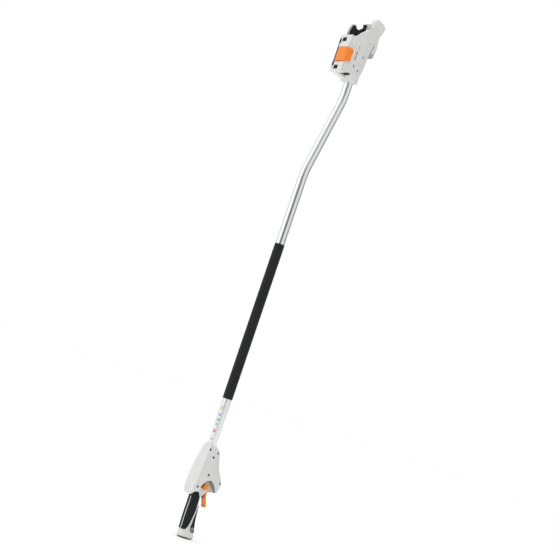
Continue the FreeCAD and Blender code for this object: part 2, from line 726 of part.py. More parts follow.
rod_base = Vector(dim("rod_x"), dim("rod_y"), dim("rod_bottom"))
rod = cylinder("rod", "rod_radius", "rod_length", rod_base)
subpart(rod, "clamp_hinge_rod")

# --------------------------------------------------------------- clamp strap

ROD = (dim("rod_x"), dim("rod_y"))
BARREL = dim("barrel_radius")
STRAP_BACK = ROD[0] - BARREL
STRAP_END = 4.5
STRAP_SIDE = -dim("head_half") - dim("gap") - dim("strap_thick")
STRAP_INNER = STRAP_BACK + dim("strap_thick")
SIDE_INNER = STRAP_SIDE + dim("strap_thick")
STRAP = [
    (STRAP_BACK, ROD[1]), (STRAP_BACK, STRAP_SIDE, 9), (STRAP_END, STRAP_SIDE, 1),
    (STRAP_END, SIDE_INNER, 1),
    (STRAP_INNER, SIDE_INNER, 6), (STRAP_INNER, ROD[1]),
]
strap = doc.addObject("PartDesign::Body", "clamp_strap")
strap_bottom = dim("strap_bottom")
pad(strap, outline(strap, "strap_band", "XY_Plane", STRAP, strap_bottom), "strap_length")
barrel = circles(strap, "strap_barrel", "XY_Plane", [ROD], "barrel_radius", strap_bottom)
pad(strap, barrel, "strap_length")
rod_bore = circles(strap, "strap_bore", "XY_Plane", [ROD], "rod_radius + clearance", strap_bottom)
pocket(strap, rod_bore, "strap_length", True)
subpart(strap, "clamp_strap")

KEEPER_START = STRAP_END + 0.6
KEEPER_END = KEEPER_START + 2.8
KEEPER = [(KEEPER_START, -22), (KEEPER_START, -25.2, 1), (KEEPER_END, -25.2, 1), (KEEPER_END, -22)]
keeper = doc.addObject("PartDesign::Body", "strap_keeper")
pad(keeper, outline(keeper, "keeper_lip", "XY_Plane", KEEPER, strap_bottom), "strap_length")
subpart(keeper, "strap_keeper")

# ------------------------------------------------------- lever in the spine

LEVER_END = (LEVER[0] - dim("lever_arm"), LEVER[1])
LEVER_BLADE = [
    (LEVER[0] + 4.5, LEVER[1] - 4.5, 3), (LEVER_END[0] - 4, LEVER_END[1] - 4, 2),
    (LEVER_END[0] - 4, LEVER_END[1] + 4, 2), (50, 1368, 3), (46, 1388, 4), (31, 1390, 2),
    (31, 1397.5, 3), (50, 1397.5, 5), (57, 1376), (61, 1365, 3),
]
lever = doc.addObject("PartDesign::Body", "actuator_lever")
pad(lever, outline(lever, "lever_blade", "XZ_Plane", LEVER_BLADE), "lever_half * 2", both=True)
lever_hole = circles(lever, "lever_hole", "XZ_Plane", [LEVER], "pivot_radius + clearance")
pocket(lever, lever_hole, "lever_half * 2", both=True)
notch = [(LEVER_END[0] - 5, 1350), (LEVER_END[0] - 5, 1372), (51, 1372), (51, 1350)]
pocket(lever, outline(lever, "lever_notch", "XZ_Plane", notch), "lever_half", both=True)
lever_seat = circles(lever, "lever_seat", "XZ_Plane", [LEVER_END], "nipple_radius + clearance")
pocket(lever, lever_seat, "lever_half * 2", both=True)
subpart(lever, "actuator_lever")

high_nipple_base = Vector(LEVER_END[0], -dim("lever_half"), LEVER_END[1])
high_nipple = cylinder("nipple_high", "nipple_radius", "lever_half * 2", high_nipple_base, ALONG_Y)
subpart(high_nipple, "lever_cable_nipple")
lever_pin_base = Vector(LEVER[0], -dim("spine_half") - dim("pin_overhang"), LEVER[1])
lever_pin = cylinder("pin_high", "pivot_radius", "spine_half * 2 + pin_overhang * 2", lever_pin_base, ALONG_Y)
subpart(lever_pin, "actuator_pivot_pin")
lever_spring_base = Vector(LEVER[0], dim("lever_half") + 0.6, LEVER[1])
coil("actuator_return_spring", "spring_radius", 1.2, 1.0, lever_spring_base, ALONG_Y)

# -------------------------------------------------------------- branch hook

HOOK = [
    (61.3, 1395), (84, 1395, 2), (77, 1366, 6), (80, 1356, 4),
    (94, 1356, 5), (98.5, 1382, 30), (95, 1409, 14), (92, 1421, 4), (100, 1432, 8), (105, 1453, 8),
    (92, 1464, 6), (84, 1461.5, 3), (75, 1466.5, 6), (64, 1461, 5), (61.3, 1446),
]
TIP_TOP = 1366.5
hook = doc.addObject("PartDesign::Body", "branch_hook")
pad(hook, outline(hook, "hook_plate", "XZ_Plane", HOOK), "hook_half * 2 - gap", both=True)
TIP_CUT = [(70, 1350), (70, TIP_TOP), (110, TIP_TOP), (110, 1350)]
pocket(hook, outline(hook, "hook_end", "XZ_Plane", TIP_CUT), "hook_half * 2", both=True)
subpart(hook, "branch_hook")

HOOK_TIP = [(77.2, TIP_TOP), (80, 1356, 4), (94, 1356, 5), (96, TIP_TOP)]
tip = doc.addObject("PartDesign::Body", "hook_tip")
pad(tip, outline(tip, "tip_plate", "XZ_Plane", HOOK_TIP), "hook_half * 2 - gap", both=True)
subpart(tip, "hook_tip")

# ------------------------------------------------------------------- screws

handle_set = [
    screw(f"handle_screw_{index}", length, Vector(x, -seat, z), ALONG_Y)
    for index, ((x, z), seat, length) in enumerate(zip(HANDLE_SCREWS, SCREW_SEATS, SCREW_LENGTHS))
]
subpart(group("handle_set", handle_set), "housing_screws")

tube_screw_base = Vector(TUBE_SCREW[0], -TUBE_SCREW_SEAT, TUBE_SCREW[1])
subpart(screw("tube_screw", "screw_short", tube_screw_base, ALONG_Y), "tube_set_screw")

HEAD_SEAT = -dim("head_screw_seat")
head_set = [
    screw(f"head_screw_{index}", length, Vector(x, HEAD_SEAT, z), ALONG_Y)
    for index, ((x, z), length) in enumerate(zip(HEAD_SCREWS, HEAD_SCREW_LENGTHS))
]
subpart(group("head_set", head_set), "head_screws")

# ------------------------------------------------------------ check and write

doc.recompute()
failed = [item.Name for item in doc.Objects if {"Invalid", "Error"} & set(item.State)]
if failed:
    raise RuntimeError(f"objects failed: {failed}")
for item in SUBPARTS:
    shape = item.Shape
    if shape.isNull() or not shape.isValid() or not shape.Solids:
        raise RuntimeError(f"{item.Label} has no valid solid")
    solids = len(shape.Solids)
    print(f"{item.Label}: {solids} solid(s), {shape.Volume:.0f} mm3")
    shape.exportStep(f"parts/{item.Label}.step")
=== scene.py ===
"""Looks of the extension pole: camera, studio, materials and the pieces that replace CAD nodes.

Metres, in the CAD's frame: +Z up the lower tube axis, +X the trigger side, -Y the user's
right. Outlines are written in millimetres and scaled by MM.
"""

import json
import math

import bmesh
import bpy
from mathutils import Matrix, Vector
from mathutils.bvhtree import BVHTree
from mathutils.geometry import intersect_point_line


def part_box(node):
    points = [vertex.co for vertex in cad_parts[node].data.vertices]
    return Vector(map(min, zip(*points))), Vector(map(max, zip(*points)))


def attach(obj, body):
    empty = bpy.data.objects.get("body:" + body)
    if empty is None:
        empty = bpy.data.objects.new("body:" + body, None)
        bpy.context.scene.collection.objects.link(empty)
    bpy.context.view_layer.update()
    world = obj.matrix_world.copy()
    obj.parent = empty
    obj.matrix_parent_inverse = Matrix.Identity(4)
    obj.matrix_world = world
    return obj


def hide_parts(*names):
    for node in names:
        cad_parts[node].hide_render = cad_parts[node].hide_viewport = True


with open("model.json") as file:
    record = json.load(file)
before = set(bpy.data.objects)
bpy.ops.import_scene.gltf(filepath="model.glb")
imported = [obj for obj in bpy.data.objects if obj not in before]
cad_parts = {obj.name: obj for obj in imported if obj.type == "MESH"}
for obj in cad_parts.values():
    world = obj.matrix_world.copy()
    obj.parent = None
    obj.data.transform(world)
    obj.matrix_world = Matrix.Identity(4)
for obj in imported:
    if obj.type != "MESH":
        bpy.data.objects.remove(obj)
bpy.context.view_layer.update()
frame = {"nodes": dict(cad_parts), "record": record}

MM = 0.001
NODES = frame["nodes"]


# ------------------------------------------------------------------ materials


class Surface:
    """A node material being built: a principled shader with texture helpers."""

    def __init__(self, name, colour, roughness, metallic=0.0):
        self.material = bpy.data.materials.new(name)
        self.material.use_nodes = True
        self.tree = self.material.node_tree
        self.shader = self.tree.nodes["Principled BSDF"]
        self.colour = colour
        self.roughness = roughness
        self.set("Base Color", (*colour, 1.0))
        self.set("Roughness", roughness)
        self.set("Metallic", metallic)
        self.place = self.node("ShaderNodeTexCoord").outputs["Object"]

    def set(self, socket, value):
        self.shader.inputs[socket].default_value = value

    def node(self, kind, **values):
        made = self.tree.nodes.new(kind)
        for name, value in values.items():
            if hasattr(made, name):
                setattr(made, name, value)
            else:
                made.inputs[name.replace("_", " ")].default_value = value
        return made

    def link(self, source, target):
        self.tree.links.new(source, target)

    def noise(self, scale, stretch=(1, 1, 1), detail=3.0):
        """A noise value, with its cells stretched by the given factors."""
        mapping = self.node("ShaderNodeMapping")
        mapping.inputs["Scale"].default_value = stretch
        self.link(self.place, mapping.inputs["Vector"])
        texture = self.node("ShaderNodeTexNoise", Scale=scale, Detail=detail)
        self.link(mapping.outputs["Vector"], texture.inputs["Vector"])
        return texture.outputs["Fac"]

    def cells(self, scale, stretch=(1, 1, 1)):
        """The distance to the nearest cell centre, for grained and pebbled surfaces."""
        mapping = self.node("ShaderNodeMapping")
        mapping.inputs["Scale"].default_value = stretch
        self.link(self.place, mapping.inputs["Vector"])
        texture = self.node("ShaderNodeTexVoronoi", Scale=scale)
        self.link(mapping.outputs["Vector"], texture.inputs["Vector"])
        return texture.outputs["Distance"]

    def tint(self, value, low, high):
        """Base colour between low and high multiples of the colour, following value."""
        ramp = self.node("ShaderNodeValToRGB")
        ramp.color_ramp.elements[0].position = 0.3
        ramp.color_ramp.elements[1].position = 0.7
        for element, factor in zip(ramp.color_ramp.elements, (low, high)):
            element.color = (*[min(1.0, part * factor) for part in self.colour], 1.0)
        self.link(value, ramp.inputs["Fac"])
        self.link(ramp.outputs["Color"], self.shader.inputs["Base Color"])

    def vary_roughness(self, value, spread):
        scaled = self.node("ShaderNodeMapRange")
        scaled.inputs["To Min"].default_value = self.roughness - spread
        scaled.inputs["To Max"].default_value = self.roughness + spread
        self.link(value, scaled.inputs["Value"])
        self.link(scaled.outputs["Result"], self.shader.inputs["Roughness"])

    def bump(self, value, height, strength=1.0):
        """Relief of the given height in metres."""
        relief = self.node("ShaderNodeBump")
        relief.inputs["Strength"].default_value = strength
        relief.inputs["Distance"].default_value = height
        self.link(value, relief.inputs["Height"])
        self.link(relief.outputs["Normal"], self.shader.inputs["Normal"])


def moulded(name, colour, roughness, grain=1400.0, height=0.00005):
    """Moulded plastic: a fine spark-eroded grain and a faint drift of tone."""
    surface = Surface(name, colour, roughness)
    surface.tint(surface.noise(22.0), 0.985, 1.015)
    surface.vary_roughness(surface.noise(60.0), 0.05)
    surface.bump(surface.noise(grain, detail=2.0), height, 0.12)
    return surface.material


def drawn_tube():
    """Drawn aluminium: fine lengthwise lines under a clear satin."""
    surface = Surface("drawn_aluminium", (0.83, 0.84, 0.85), 0.17, 1.0)
    surface.tint(surface.noise(90.0, (1, 1, 0.02)), 0.96, 1.0)
    surface.vary_roughness(surface.noise(160.0, (1, 1, 0.02)), 0.03)
    surface.bump(surface.noise(900.0, (1, 1, 0.01)), 0.00002, 0.3)
    return surface.material


def foam(name, colour, roughness, grain=1100.0):
    """Closed-cell foam or soft grip rubber, pebbled."""
    surface = Surface(name, colour, roughness)
    surface.tint(surface.noise(300.0), 0.8, 1.25)
    surface.vary_roughness(surface.noise(35.0), 0.06)
    surface.bump(surface.cells(grain), 0.00012, 0.5)
    surface.set("Specular IOR Level", 0.22)
    return surface.material


def brushed(name, colour, roughness):
    surface = Surface(name, colour, roughness, 1.0)
    surface.tint(surface.noise(150.0, (1, 1, 0.1)), 0.9, 1.05)
    surface.vary_roughness(surface.noise(400.0, (1, 1, 0.1)), 0.06)
    surface.bump(surface.noise(1200.0, (1, 1, 0.05)), 0.00001, 0.3)
    return surface.material


def printed(name, colour):
    surface = Surface(name, colour, 0.32)
    surface.tint(surface.noise(220.0), 0.94, 1.04)
    surface.vary_roughness(surface.noise(50.0), 0.04)
    surface.set("Coat Weight", 0.4)
    return surface.material


MATERIALS = {
    "shell": moulded("light_grey_plastic", (0.72, 0.72, 0.71), 0.42),
    "orange": moulded("orange_plastic", (0.93, 0.235, 0.012), 0.36),
    "soft_black": foam("soft_black", (0.008, 0.009, 0.011), 0.6),
    "dark_plastic": moulded("dark_plastic", (0.055, 0.057, 0.06), 0.5),
    "tube": drawn_tube(),
    "steel": brushed("bright_steel", (0.62, 0.62, 0.61), 0.28),
    "dark_steel": brushed("blackened_steel", (0.08, 0.078, 0.076), 0.38),
    "label": printed("label_film", (0.74, 0.74, 0.7)),
    "tip_grey": moulded("grey_plastic", (0.42, 0.42, 0.42), 0.45),
    "conduit": moulded("cable_housing", (0.02, 0.02, 0.021), 0.4),
    # painted light: the scoop's walls darker grey as painted shade, its floor tan as a painted orange
    # bounce light
    "recess": moulded("painted_scoop_wall_shade", (0.24, 0.24, 0.245), 0.55),
    "recess_floor": moulded("painted_scoop_floor_bounce_light", (0.60, 0.51, 0.40), 0.55),
    "sleeve": foam("foam_sleeve", (0.011, 0.012, 0.014), 0.62, 700.0),
    "mark_yellow": printed("mark_yellow", (0.72, 0.66, 0.30)),
    "mark_blue": printed("mark_blue", (0.20, 0.36, 0.60)),
    "mark_green": printed("mark_green", (0.30, 0.50, 0.32)),
    "mark_red": printed("mark_red", (0.66, 0.24, 0.22)),
}


def paint(obj, material):
    obj.data.materials.clear()
    obj.data.materials.append(material)
    if obj.type == "MESH":
        for polygon in obj.data.polygons:
            polygon.material_index = 0


def paint_cad_nodes():
    slots = {entry["node"]: entry["material_slot"] for entry in frame["record"]["subparts"]}
    for name, obj in NODES.items():
        paint(obj, MATERIALS[slots[name]])


# --------------------------------------------------------------- mesh helpers


def mesh_object(name, vertices, faces, smooth=True):
    mesh = bpy.data.meshes.new(name)
    mesh.from_pydata([tuple(v) for v in vertices], [], faces)
    mesh.validate()
    made = bpy.data.objects.new(name, mesh)
    bpy.context.scene.collection.objects.link(made)
    tidy = bmesh.new()
    tidy.from_mesh(mesh)
    bmesh.ops.recalc_face_normals(tidy, faces=tidy.faces)
    tidy.to_mesh(mesh)
    tidy.free()
    for polygon in mesh.polygons:
        polygon.use_smooth = smooth
    return made


def bevel(obj, width, segments=3, angle=32.0):
    """Round the sharp edges and keep the flats flat."""
    modifier = obj.modifiers.new("bevel", "BEVEL")
    modifier.width = width
    modifier.segments = segments
    modifier.limit_method = "ANGLE"
    modifier.angle_limit = math.radians(angle)
    modifier.harden_normals = True
    return obj


def apply_modifiers(obj):
    graph = bpy.context.evaluated_depsgraph_get()
    mesh = bpy.data.meshes.new_from_object(obj.evaluated_get(graph))
    obj.modifiers.clear()
    obj.data = mesh
    return obj


def boolean(obj, cutter, operation="DIFFERENCE"):
    """Cut, join or intersect with a cutter, which is then removed."""
    modifier = obj.modifiers.new("boolean", "BOOLEAN")
    modifier.operation = operation
    modifier.solver = "EXACT"
    modifier.object = cutter
    apply_modifiers(obj)
    bpy.data.objects.remove(cutter, do_unlink=True)
    return obj


def rounded(corners, steps=6):
    """Points of a closed outline of corners (x, z) or (x, z, radius), in millimetres."""
    points = []
    count = len(corners)
    for index, corner in enumerate(corners):
        here = Vector(corner[:2])
        if len(corner) == 2:
            points.append(here)
            continue
        before = (Vector(corners[index - 1][:2]) - here).normalized()
        after = (Vector(corners[(index + 1) % count][:2]) - here).normalized()
        half = before.angle(after) / 2
        centre = here + (before + after).normalized() * (corner[2] / math.sin(half))
        start = here + before * (corner[2] / math.tan(half)) - centre
        stop = here + after * (corner[2] / math.tan(half)) - centre
        for step in range(steps + 1):
            points.append(centre + start.slerp(stop, step / steps).normalized() * corner[2])
    return points


def prism(name, corners, y_low, y_high):
    """A solid from an outline in the XZ plane between two Y values, all in millimetres."""
    flat = rounded(corners)
    return loft(name, [[Vector((p.x, y, p.y)) for p in flat] for y in (y_low, y_high)], smooth=False)


def extrude_up(name, corners, low, high):
    """A solid from an outline in the XY plane between two heights, all in millimetres."""
    flat = rounded(corners)
    return loft(name, [[Vector((p.x, p.y, z)) for p in flat] for z in (low, high)], smooth=False)


def lathe(name, profile, base, axis, sides=40, tube=False):
    """A turned solid, or a tube whose profile closes on itself: (radius, height) in millimetres."""
    turn = Vector((0, 0, 1)).rotation_difference(axis)
    vertices = []
    for radius, height in profile:
        for side in range(sides):
            angle = 2 * math.pi * side / sides
            point = Vector((radius * math.cos(angle), radius * math.sin(angle), height))
            vertices.append((base + turn @ point) * MM)
    faces = []
    for ring in range(len(profile) if tube else len(profile) - 1):
        for side in range(sides):
            after = (side + 1) % sides
            low, high = ring * sides, (ring + 1) % len(profile) * sides
            faces.append((low + side, low + after, high + after, high + side))
    if not tube:
        faces.append(tuple(range(sides)))
        faces.append(tuple(range(len(vertices) - 1, len(vertices) - sides - 1, -1)))
    return mesh_object(name, vertices, faces)


def smooth_steps(value, knots):
    """Smooth (Catmull-Rom) reading of a table of rows (key, a, b, ...) at one key."""
    last = len(knots) - 1
    index = 0
    while index < last - 1 and value > knots[index + 1][0]:
        index += 1
    rows = [knots[max(0, min(last, index + shift))] for shift in (-1, 0, 1, 2)]
    span = rows[2][0] - rows[1][0]
    t = (value - rows[1][0]) / span
    result = []
    for column in range(1, len(rows[0])):
        p0, p1, p2, p3 = (row[column] for row in rows)
        m1 = (p2 - p0) * span / (rows[2][0] - rows[0][0]) if index else p2 - p1
        m2 = (p3 - p1) * span / (rows[3][0] - rows[1][0]) if index < last - 1 else p2 - p1
        t2, t3 = t * t, t * t * t
        result.append(
            (2 * t3 - 3 * t2 + 1) * p1 + (t3 - 2 * t2 + t) * m1 + (3 * t2 - 2 * t3) * p2 + (t3 - t2) * m2
        )
    return result


def strip_cap(ring, first):
    """Faces across a ring whose point k mirrors point ring - k, for an end that isn't flat."""
    middle = ring // 2
    faces = [(first, first + 1, first + ring - 1), (first + middle - 1, first + middle, first + middle + 1)]
    for k in range(1, middle - 1):
        faces.append((first + k, first + k + 1, first + ring - k - 1, first + ring - k))
    return faces


def loft(name, sections, mirrored=False, smooth=True):
    """A closed solid through rings of equal length, in millimetres."""
    ring = len(sections[0])
    vertices = [point * MM for section in sections for point in section]
    last = len(vertices) - ring
    if mirrored:
        faces = strip_cap(ring, 0) + strip_cap(ring, last)
    else:
        faces = [tuple(range(ring)), tuple(range(len(vertices) - 1, last - 1, -1))]
    for row in range(len(sections) - 1):
        for side in range(ring):
            after = (side + 1) % ring
            low, high = row * ring, (row + 1) * ring
            faces.append((low + side, low + after, high + after, high + side))
    return mesh_object(name, vertices, faces, smooth)


def join(name, group):
    """One object from several, whose own objects are removed."""
    shape = bmesh.new()
    for piece in group:
        shape.from_mesh(piece.data)
        bpy.data.objects.remove(piece, do_unlink=True)
    mesh = bpy.data.meshes.new(name)
    shape.to_mesh(mesh)
    shape.free()
    made = bpy.data.objects.new(name, mesh)
    bpy.context.scene.collection.objects.link(made)
    return made


def trim(obj, point, normal):
    """Cut away what lies beyond a plane, given by a point in millimetres and its outward normal."""
    shape = bmesh.new()
    shape.from_mesh(obj.data)
    cut = bmesh.ops.bisect_plane(
        shape,
        geom=shape.verts[:] + shape.edges[:] + shape.faces[:],
        plane_co=[part * MM for part in point],
        plane_no=normal,
        clear_outer=True,
    )
    edges = [item for item in cut["geom_cut"] if isinstance(item, bmesh.types.BMEdge)]
    bmesh.ops.holes_fill(shape, edges=edges)
    bmesh.ops.triangulate(shape, faces=[face for face in shape.faces if len(face.verts) > 4])
    shape.to_mesh(obj.data)
    shape.free()
    return obj


def half(obj, side, gap=0.12):
    """Keep one half of a solid, a hair away from the middle plane."""
    return trim(obj, (0, side * gap, 0), (0, -side, 0))


def place(obj, body, slot, *nodes, finish=None):
    """Finish a piece: its material, picked by finish or else by slot, its body, and the CAD nodes it stands
    for, which are hidden.
    """
    paint(obj, MATERIALS[finish or slot])
    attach(obj, body)
    if nodes:
        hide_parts(*nodes)
    return obj


# --------------------------------------------------------------------- studio

CAMERA_AZIMUTH = math.radians(-40.0)
CAMERA_DISTANCE = 3.0
CAMERA_HEIGHT = 0.4
CAMERA_PITCH = math.radians(6.087)
CAMERA_ROLL = math.radians(18.75)


def make_camera():
    """The lens looks level at the pole's lower half, tipped up and rolled so that the pole leans."""
    data = bpy.data.cameras.new("camera")
    data.lens = 74.39
    data.sensor_width = 36.0
    data.shift_x = 0.016
    data.shift_y = -0.01745
    data.clip_start = 0.1
    data.clip_end = 60.0
    camera = bpy.data.objects.new("camera", data)
    bpy.context.scene.collection.objects.link(camera)
    away = Vector((math.sin(CAMERA_AZIMUTH), -math.cos(CAMERA_AZIMUTH), 0.0))
    forward = -away * math.cos(CAMERA_PITCH) + Vector((0, 0, math.sin(CAMERA_PITCH)))
    right = forward.cross(Vector((0, 0, 1))).normalized()
    upward = right.cross(forward)
    right = right * math.cos(CAMERA_ROLL) + upward * math.sin(CAMERA_ROLL)
    upward = right.cross(forward)
    matrix = Matrix((right, upward, -forward)).transposed().to_4x4()
    matrix.translation = away * CAMERA_DISTANCE + Vector((0, 0, CAMERA_HEIGHT))
    camera.matrix_world = matrix
    bpy.context.scene.camera = camera


# direction round the object (0 at -X, a quarter at -Y, a half at +X) and the brightness there
DIFFUSE_ROUND = ((0.0, 1.0), (0.14, 0.5), (0.25, 0.1), (0.5, 0.12), (0.75, 0.4), (1.0, 1.0))
GLOSSY_ROUND = (
    (0.0, 1.2), (0.03, 1.0), (0.045, 0.8), (0.075, 0.1), (0.17, 0.06), (0.215, 0.8), (0.32, 0.9),
    (0.42, 0.35), (0.5, 0.2), (0.58, 0.7), (0.61, 0.1), (0.68, 0.1), (0.72, 0.7), (0.86, 1.0), (1.0, 1.2),
)
ZENITH_DIFFUSE = 1.3
ZENITH_GLOSSY = 1.1


def make_world():
    """A studio: white where the camera sees it, and graded walls where it lights the object."""
    world = bpy.data.worlds.new("studio")
    bpy.context.scene.world = world
    world.use_nodes = True
    tree = world.node_tree
    background = tree.nodes["Background"]
    background.inputs["Color"].default_value = (1.0, 1.0, 1.0, 1.0)
    direction = tree.nodes.new("ShaderNodeTexCoord").outputs["Generated"]
    split = tree.nodes.new("ShaderNodeSeparateXYZ")
    tree.links.new(direction, split.inputs["Vector"])

    def math_node(operation, first, second):
        node = tree.nodes.new("ShaderNodeMath")
        node.operation = operation
        for socket, value in zip(node.inputs, (first, second)):
            if isinstance(value, float):
                socket.default_value = value
            else:
                tree.links.new(value, socket)
        return node.outputs["Value"]

    def mix(factor, first, second):
        node = tree.nodes.new("ShaderNodeMix")
        node.data_type = "FLOAT"
        for name, value in (("Factor", factor), ("A", first), ("B", second)):
            socket = next(item for item in node.inputs if item.name == name and item.type == "VALUE")
            if isinstance(value, float):
                socket.default_value = value
            else:
                tree.links.new(value, socket)
        return next(item for item in node.outputs if item.type == "VALUE")

    def walls(stops, zenith):
        ramp = tree.nodes.new("ShaderNodeValToRGB")
        while len(ramp.color_ramp.elements) < len(stops):
            ramp.color_ramp.elements.new(0.5)
        for element, (position, level) in zip(ramp.color_ramp.elements, stops):
            element.position = position
            element.color = (level / 2, level / 2, level / 2, 1.0)
        tree.links.new(turn, ramp.inputs["Fac"])
        level = math_node("MULTIPLY", ramp.outputs["Color"], 2.0)
        return mix(overhead, level, zenith)

    angle = math_node("ARCTAN2", split.outputs["Y"], split.outputs["X"])
    turn = math_node("ADD", math_node("DIVIDE", angle, 2 * math.pi), 0.5)
    height = math_node("MAXIMUM", split.outputs["Z"], 0.0)
    overhead = math_node("POWER", height, 1.2)
    rays = tree.nodes.new("ShaderNodeLightPath")
    diffuse = walls(DIFFUSE_ROUND, ZENITH_DIFFUSE)
    glossy = walls(GLOSSY_ROUND, ZENITH_GLOSSY)
    lit = mix(rays.outputs["Is Glossy Ray"], diffuse, glossy)
    seen = mix(rays.outputs["Is Camera Ray"], lit, 1.0)
    tree.links.new(seen, background.inputs["Strength"])


def soft_light(name, centre, target, size, power):
    data = bpy.data.lights.new(name, "AREA")
    data.shape = "RECTANGLE"
    data.size, data.size_y = size
    data.energy = power
    lamp = bpy.data.objects.new(name, data)
    bpy.context.scene.collection.objects.link(lamp)
    lamp.location = centre
    lamp.rotation_euler = (Vector(target) - Vector(centre)).to_track_quat("-Z", "Y").to_euler()
    return lamp


def make_studio():
    make_world()
    floor = mesh_object(
        "floor", [(-30, -30, 0), (30, -30, 0), (30, 30, 0), (-30, 30, 0)], [(0, 1, 2, 3)], False
    )
    surface = Surface("floor_paper", (0.97, 0.97, 0.97), 0.9)
    surface.tint(surface.noise(3.0), 0.998, 1.002)
    surface.vary_roughness(surface.noise(9.0), 0.03)
    surface.set("Specular IOR Level", 0.0)
    surface.set("Emission Color", (1.0, 1.0, 1.0, 1.0))
    surface.set("Emission Strength", 0.06)
    paint(floor, surface.material)
    bpy.context.scene.view_settings.view_transform = "Standard"
    soft_light("key", (-3.2, 1.2, 1.9), (0, 0, 0.8), (1.6, 2.6), 8)
    soft_light("overhead", (0.2, -0.2, 3.8), (0, 0, 0.5), (2.4, 2.4), 16)


# --------------------------------------------------------------------- handle

# share of the height, back point x z, front point x z, inset of the back corners,
# half width, half width of the front face
HOUSING_STATIONS = (
    (0.00, -29.0, 112, 57.0, 130, 2.0, 16.5, 13.5),
    (0.10, -30.2, 125, 60.5, 140, 2.2, 19.0, 15.0),
    (0.25, -29.4, 143, 61.5, 153, 2.4, 21.0, 15.5),
    (0.36, -27.4, 158, 57.8, 164, 2.4, 21.3, 15.0),
    (0.48, -25.8, 176, 49.0, 178, 2.2, 20.4, 14.0),
    (0.62, -23.4, 195, 41.0, 192, 2.0, 19.8, 12.5),
    (0.78, -19.6, 217, 33.8, 212, 1.8, 18.0, 11.5),
    (0.90, -16.2, 236, 28.0, 229, 1.5, 14.8, 10.2),
    (0.96, -13.4, 246, 23.0, 237, 1.2, 12.2, 8.8),
    (1.00, -9.5, 252, 13.0, 244, 1.0, 8.0, 6.0),
)
# share of the way from back to front, and how far the bottom edge leaves a straight line there
BOTTOM_EDGE = (
    (0.0, 0.0), (0.05, 3.0), (0.11, 8.0), (0.22, 6.5), (0.28, 5.5), (0.42, 5.0), (0.6, 3.3), (1.0, 0.0),
)


def housing_section(t):
    """One ring of the housing: flat back with two grooves, flat flanks, faceted front."""
    back_x, back_z, front_x, front_z, inset, wide, front_wide = smooth_steps(t, HOUSING_STATIONS)
    depth = front_x - back_x
    shoulder = back_x + depth * 0.62
    side = [
        (back_x, 0.0), (back_x + 0.02, 0.4), (back_x + 0.05, wide * 0.32), (back_x + 0.9, wide * 0.36),
        (back_x + 0.9, wide * 0.41), (back_x + 0.1, wide * 0.45), (back_x + inset * 0.4, wide * 0.72),
        (back_x + inset - 0.6, wide - 1.4), (back_x + inset - 0.1, wide - 0.55),
        (back_x + inset + 0.7, wide - 0.12), (back_x + inset + 2.0, wide),
    ]
    side += [(back_x + inset + 2.0 + (shoulder - back_x - inset - 2.0) * k / 5, wide) for k in range(1, 6)]
    run = front_x - shoulder
    side += [
        (shoulder + 0.8, wide - 0.1), (shoulder + run * 0.35, wide - (wide - front_wide) * 0.32),
        (shoulder + run * 0.7, wide - (wide - front_wide) * 0.68), (front_x - 3.2, front_wide + 0.4),
        (front_x - 1.4, front_wide - 0.9), (front_x - 0.4, front_wide - 3.0),
        (front_x, front_wide * 0.55), (front_x + 0.1, 0.0),
    ]
    low = max(0.0, 1.0 - t / 0.3) ** 2
    ring = []
    for mirror in (-1, 1):
        points = side if mirror < 0 else side[-2:0:-1]
        for x, y in points:
            along = min(1.0, max(0.0, (x - back_x) / depth))
            drop = smooth_steps(along, BOTTOM_EDGE)[0] * low
            ring.append(Vector((x, mirror * y, back_z + (front_z - back_z) * along + drop)))
    return ring


SCOOP = [(-5.5, 118), (-5.5, 140, 5), (5, 153.5, 5), (20, 158.5, 8), (37, 146, 8), (50, 132), (54, 118)]
SCOOP_FLOOR = 9.5
# depth from the middle plane and the size of the outline there
SCOOP_RINGS = ((SCOOP_FLOOR, 0.86), (17.0, 1.0), (30.0, 1.06))
SCOOP_FOOT = Vector((24, 118))
TRIGGER_SLOT = [(19, 118), (19, 134, 2), (43, 134, 2), (43, 118)]
TRIGGER_SLOT_HALF = 7.5
HOUSING_STEPS = 44
SCREWS = ((-10.7, 233), (19, 229), (5, 216), (6, 170.5), (-16, 136), (55, 156))
# which of them holds the tube
TUBE_SCREW = 2
SCREW_WELL = [(3.5, 0), (3.5, 9)]
SCREW_DEPTH = 1.6
KNOB_GAP = 0.35
# where the knob's hidden end stops, clear of the other half when it is pressed in
KNOB_START = -5.2
SCREW_HEAD = [(3.0, 0), (3.0, 1.7), (2.7, 2.1), (2.0, 2.3), (1.5, 2.3), (1.45, 1.1), (0.05, 1.0)]


def surface_depth(obj, x, z):
    """How far out the right-hand surface lies at one x, z, in millimetres."""
    tree = BVHTree.FromPolygons(
        [vertex.co for vertex in obj.data.vertices], [face.vertices for face in obj.data.polygons]
    )
    point = tree.ray_cast(Vector((x, -60, z)) * MM, Vector((0, 1, 0)))[0]
    return -point.y / MM


def scoop_cutter(side):
    """The hollow round the lock button, narrower at its floor than at its mouth."""
    mouth = rounded(SCOOP)
    rings = []
    for depth, share in SCOOP_RINGS:
        flat = [SCOOP_FOOT + (point - SCOOP_FOOT) * share for point in mouth]
        rings.append([Vector((point.x, side * depth, point.y)) for point in flat])
    return loft("scoop", rings, smooth=False)


